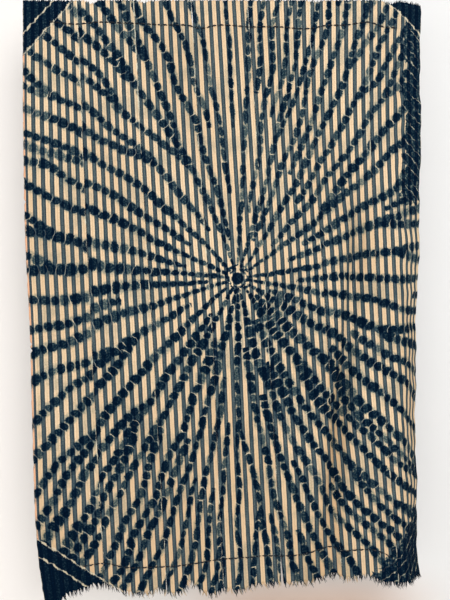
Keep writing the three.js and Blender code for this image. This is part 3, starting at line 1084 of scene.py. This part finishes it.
def resist_dye_group(chain):
    """All the dye: the centre's disc, four families of rays, the dipped corners and side, and the
    cloth that tied thread and the seams kept pale."""
    inputs = dict.fromkeys(("Place", *DYE_FIELDS), VECTOR) | {"Blue": NUMBER}
    weave, given, out, group = shader_group("resist dye", inputs, {"Amount": NUMBER, "Pale": NUMBER})
    across, down, _ = weave.split(given["Place"])
    inner, second_inner, _ = weave.split(given["Corner"])
    edge, edge_across, edge_down = weave.split(given["Edge"])
    crowd, _, radius = weave.split(given["Wash"])
    broad = weave.noise(given["Place"], 60.0) - 0.5
    fine = weave.noise(weave.combine(across * 1.5, down * 0.8), 250.0, 3.0, 0.6) - 0.5
    bare, kept = 1.0, 0.0
    for label in CHAINS:
        values = {"Chain": given[label], "Broad": broad, "Fine": fine, "Crowd": crowd}
        read = placed_group(weave, chain, values)
        bare = (1 - read["Amount"]) * bare
        kept = weave.most(read["Kept"], kept)

    # The disc, the splashes round it, a faint haze, the right edge and the dipped corners
    disc = weave.ramp(fine * 0.3 + radius, 0.85, 1.05, 1.0, 0.0)
    splashes = weave.ramp(weave.noise(given["Place"], 85.0, 1.0), 0.44, 0.60, 0.0, 0.9)
    collar = weave.ramp(abs(radius - 1.75), 0.25, 0.60, 1.0, 0.0) * splashes
    haze = weave.ramp(weave.noise(given["Place"], 13.0, 3.0), 0.50, 0.72, 0.0, 0.050)
    band = weave.ramp(broad * 0.050 + edge, -0.005, 0.005)
    blotch = weave.ramp(weave.noise(given["Place"], 95.0, 2.0), 0.28, 0.52, 0.36, 0.90)
    inside = fine * 0.006 + inner
    filled = weave.ramp(inside, -0.001, 0.0025, 0.0, 0.97)
    for cover in (disc, collar, haze, band * blotch, filled):
        bare = bare * (1 - cover)

    # Pale lines: round the disc, along the corners and slanting over the right edge
    ring = weave.ramp(abs(radius - 1.13), 0.02, 0.11, 0.55, 0.0)
    ring = ring * weave.ramp(weave.noise(given["Place"], 75.0, 1.0), 0.44, 0.56)
    broader = 1 - given["Blue"]
    nearest = weave.math("MINIMUM", abs(broad * 0.008 + inside - 0.002), abs(broad * 0.010 + second_inner))
    corner_line = weave.ramp(fine * 0.003 + (broader * -0.0014 + nearest), 0.0004, 0.0018, 1.0, 0.0)
    slope = broad * 0.7 + (edge_across * -0.80 + edge_down) / SLANT_PITCH
    step = (edge_across + edge_down) / SLANT_STEP
    drawn = weave.chance(weave.math("FLOOR", step), weave.math("FLOOR", slope + 0.5))[0]
    slant = broader * -0.03 + weave.math("PINGPONG", slope, 0.5)
    slant_line = weave.ramp(slant, -0.01, 0.05, 1.0, 0.0) * (weave.ramp(drawn, 0.30, 0.70, 0.10, 0.85) * band)
    kept = weave.most(kept, ring) * (1 - weave.most(filled, band))
    kept = weave.most(kept, corner_line, slant_line * (1 - filled)) * 0.94

    # The seams have rubbed pale in places, more often at the top left
    rubbed = weave.noise(weave.combine(across * 9.0, down), 26.0, 3.0, 0.6)
    top_left = weave.ramp(edge_down, 0.22, 0.45, 0.10, 0.0) * weave.ramp(edge_across, -0.20, -0.15, 1.0, 0.0)
    seam = weave.noise(given["Place"], 330.0, 1.0) * -0.0020 + weave.math("PINGPONG", across, STRIP_WIDTH / 2)
    seam_line = weave.ramp(seam, 0.0002, 0.0012, 1.0, 0.0) * weave.ramp(rubbed + top_left, 0.54, 0.68)
    weave.join((1 - bare) * (1 - kept), out["Amount"])
    weave.join(weave.most(kept * 0.30, seam_line * 0.80), out["Pale"])
    return group


def hand_weave_group():
    """Height of the plain weave: warp threads over and under the weft, with slubs."""
    weave, given, out, group = shader_group(
        "hand weave", {"Place": VECTOR, "Ribs": NUMBER}, {"Height": NUMBER},
    )
    across, down, _ = weave.split(given["Place"])
    slub = weave.noise(weave.combine(across * 30.0, down * 260.0), 3.0, 2.0)
    threads = weave.most(weave.wave(across, WARP_PITCH) * 0.8, weave.wave(down, WEFT_PITCH) * 0.7)
    weave.join(slub * 0.5 + (threads * 0.35 + given["Ribs"] * -0.35), out["Height"])
    return group


def dyed(weave, cloth, amount):
    """Cloth colour seen through an amount of dye, which takes the most out of red and adds a little
    navy of its own."""
    channels = weave.node("ShaderNodeCombineColor")
    for share, socket in zip(DYE_PASSES, channels.inputs):
        weave.join(weave.math("POWER", share, amount), socket)
    passed = Signal(weave, channels.outputs[0])
    lost = weave.mix(1.0, (1.0, 1.0, 1.0, 1.0), passed, "SUBTRACT")
    through_dye = weave.mix(1.0, cloth, passed, "MULTIPLY")
    return weave.mix(1.0, through_dye, weave.mix(1.0, lost, DYE_NAVY, "MULTIPLY"), "ADD")


def new_material(name):
    material = bpy.data.materials.new(name)
    material.use_nodes = True
    return material, Weave(material.node_tree), material.node_tree.nodes["Principled BSDF"]


def dyed_cotton(name, groups, bump_distance):
    """Striped cotton with the resist dye over it."""
    stripes, dye, relief = groups
    material, weave, shader = new_material(name)
    place = weave.source("ShaderNodeUVMap", "UV", uv_map="cloth")
    read = {key: weave.source("ShaderNodeAttribute", "Vector", attribute_name=key) for key in DYE_FIELDS}
    striped = placed_group(weave, stripes, {"Place": place, "Age": weave.split(read["Wash"])[1]})
    resist = placed_group(weave, dye, {"Place": place, "Blue": striped["Blue"], **read})
    mottle = weave.ramp(weave.noise(place, 250.0, 3.0), 0.28, 0.62, 0.52, 1.0)
    soaked = weave.ramp(weave.split(read["Edge"])[2], 0.30, 0.95, 0.87, 1.0)  # more dye reached the foot
    colour = dyed(weave, striped["Colour"], resist["Amount"] * mottle * soaked)
    weave.join(weave.mix(resist["Pale"], colour, RESIST_PALE), shader.inputs["Base Color"])
    weave.join(weave.ramp(weave.noise(place, 180.0), 0.3, 0.7, 0.84, 0.96), shader.inputs["Roughness"])
    shader.inputs["Specular IOR Level"].default_value = 0.02
    height = placed_group(weave, relief, {"Place": place, "Ribs": striped["Ribs"]})["Height"]
    weave.bump(shader, height, 0.55, bump_distance)
    return material


def sewing_thread(name, colour, worn):
    """Twisted thread, paler where it has rubbed."""
    material, weave, shader = new_material(name)
    across, _, up = weave.split(weave.source("ShaderNodeTexCoord", "Object"))
    rub = weave.ramp(weave.noise(weave.combine(across, up), 240.0, 2.0), 0.62, 0.78)
    weave.join(weave.mix(rub, colour, worn), shader.inputs["Base Color"])
    weave.bump(shader, weave.wave(across + up, TWIST_PITCH), 0.6, YARN_RELIEF)
    shader.inputs["Roughness"].default_value = 0.85
    shader.inputs["Specular IOR Level"].default_value = 0.3
    return material


# Room, lights and camera

SHADOW_PATCH_X = 0.24  # a painted shadow of the cloth, darker and warmer, lies on the wall below it round this place
WALL_Y = 0.22
FLOOR_Z = -1.95


def wall_material():
    """Pale paint that can't be seen from its back, with painted shading greyer towards the right and a
    painted shadow below the cloth.
    """
    material, weave, shader = new_material("pale_wall")
    across, _, up = weave.split(weave.source("ShaderNodeTexCoord", "Object"))
    # Painted shadow of the cloth on the wall below it, darker and warmer
    low = weave.ramp(up, -1.62, -1.48, 1.0, 0.0)
    low = low * weave.ramp(abs(across - SHADOW_PATCH_X), 0.10, 0.48, 1.0, 0.0)
    # Painted shading: the wall paler at the left and greyer at the right
    upper = weave.mix(weave.ramp(across, -0.5, 0.5), srgb(247, 243, 240), srgb(233, 233, 233))
    weave.join(weave.mix(low, upper, srgb(214, 190, 175)), shader.inputs["Base Color"])
    shader.inputs["Roughness"].default_value = 0.95
    back = weave.source("ShaderNodeNewGeometry", "Backfacing")
    hidden = weave.source("ShaderNodeBsdfTransparent", "BSDF")
    side = weave.node("ShaderNodeMixShader")
    for value, socket in zip((back, Signal(weave, shader.outputs[0]), hidden), side.inputs):
        weave.join(value, socket)
    weave.join(Signal(weave, side.outputs[0]), weave.tree.nodes["Material Output"].inputs["Surface"])
    return material


def floor_material():
    material, _, shader = new_material("pale_floor")
    shader.inputs["Base Color"].default_value = srgb(226, 222, 217)
    shader.inputs["Roughness"].default_value = 0.9
    return material


def backdrop():
    """A pale wall behind the cloth and a pale floor below."""
    for name, material, centre, turn, size in (
        ("wall", wall_material(), (0, WALL_Y, -0.2), (math.pi / 2, 0, 0), 5.0),
        ("floor", floor_material(), (0, 0, FLOOR_Z), (0, 0, 0), 7.0),
    ):
        bpy.ops.mesh.primitive_plane_add(size=size, location=centre, rotation=turn)
        plane = bpy.context.object
        plane.name = name
        bpy.ops.object.transform_apply(location=True, rotation=True, scale=True)
        plane.data.materials.append(material)


def soft_light(name, place, target, size, power):
    data = bpy.data.lights.new(name, "AREA")
    data.size, data.energy = size, power
    light = bpy.data.objects.new(name, data)
    light.location = place
    light.rotation_euler = (Vector(target) - Vector(place)).to_track_quat("-Z", "Y").to_euler()
    bpy.context.scene.collection.objects.link(light)


def studio_light():
    scene = bpy.context.scene
    scene.view_settings.view_transform = "Standard"
    scene.world = bpy.data.worlds.new("soft_room")
    scene.world.use_nodes = True
    room = scene.world.node_tree.nodes["Background"]
    room.inputs["Color"].default_value = (1.0, 0.99, 0.97, 1)
    room.inputs["Strength"].default_value = 0.56
    soft_light("window", (0.7, -3.2, 0.3), (0.0, 0, -0.80), 2.6, 84)
    soft_light("fill", (-1.8, -2.4, -1.0), (0.0, 0, -0.80), 2.2, 13)
    soft_light("back_fill", (0.6, 2.6, 0.4), (0.0, 0, -0.75), 2.0, 22)


def photo_camera():
    data = bpy.data.cameras.new("photo_camera")
    data.sensor_fit = "VERTICAL"
    data.sensor_height = 36.0
    data.lens = data.sensor_height * CAMERA_DISTANCE / (FRAME_HEIGHT_PX * PIXEL)
    camera = bpy.data.objects.new("photo_camera", data)
    camera.location = (
        (FRAME_WIDTH_PX / 2 - CENTRE_PX) * PIXEL,
        -CAMERA_DISTANCE,
        -(FRAME_HEIGHT_PX / 2 - TOP_PX) * PIXEL,
    )
    camera.rotation_euler = (math.pi / 2, 0, 0)
    bpy.context.scene.collection.objects.link(camera)
    bpy.context.scene.camera = camera


def wall_hanging():
    groups = warp_stripes_group(), resist_dye_group(bead_chain_group()), hand_weave_group()
    cloth = dyed_cotton("striped_cotton", groups, CLOTH_RELIEF)
    yarn = dyed_cotton("loose_cotton_yarn", groups, YARN_RELIEF)
    dark_thread = sewing_thread("running_thread", DARK_THREAD, RUBBED_THREAD)
    for number in range(STRIPS):
        sheet = strip_sheet(number, cloth)
        foot = frayed_yarns(number, FOOT, yarn)
        head = frayed_yarns(number, HEAD, yarn)
    for seam in range(1, STRIPS):
        seam_stitches(seam, yarn)
    running_stitches("running_stitches_top", TOP_STITCHES, 61, dark_thread)
    running_stitches("running_stitches_bottom", BOTTOM_STITCHES, 67, dark_thread)


photo_camera()
studio_light()
backdrop()
wall_hanging()
